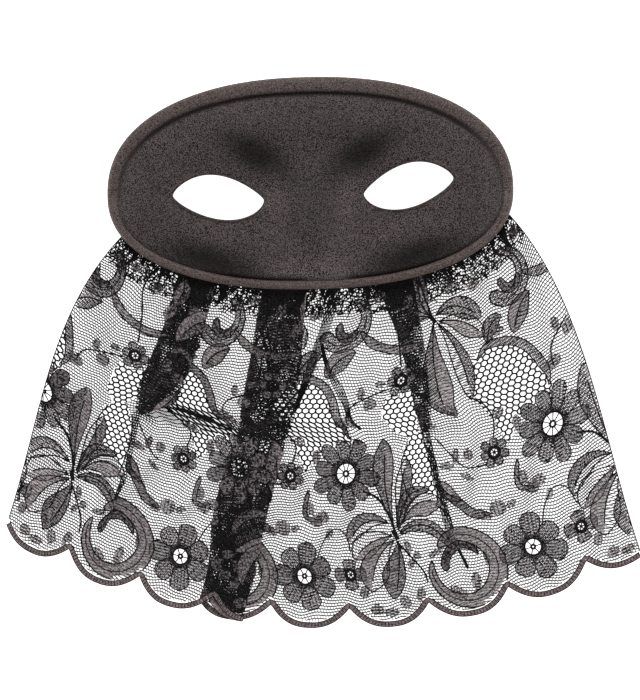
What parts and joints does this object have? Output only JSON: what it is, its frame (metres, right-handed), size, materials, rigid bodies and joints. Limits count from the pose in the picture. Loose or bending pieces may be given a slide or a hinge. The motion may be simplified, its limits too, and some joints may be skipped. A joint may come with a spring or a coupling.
{
  "type": "veiled eye mask",
  "caption": "Domino eye mask, satin covered and moulded with two eye holes, with a gathered floral lace veil on its lower edge, lying face up.",
  "frame": {"origin": "middle of the whole part's box, on the surface it lies on", "axes": "+X across the mask towards the wearer's left temple as the front is seen, +Y from the hem towards the brow, +Z out of the mask's front, up from the surface"},
  "size_m": [0.2816, 0.2438, 0.0382],
  "materials": {
    "mask_satin": "dull satin weave over a moulded shell",
    "binding_satin": "the same satin, padded",
    "black_lace": "black floral net lace"
  },
  "bodies": {
    "root": {"mask_shell": "mask_satin", "edge_binding": "binding_satin", "lace_veil": "black_lace"}
  },
  "joints": []
}
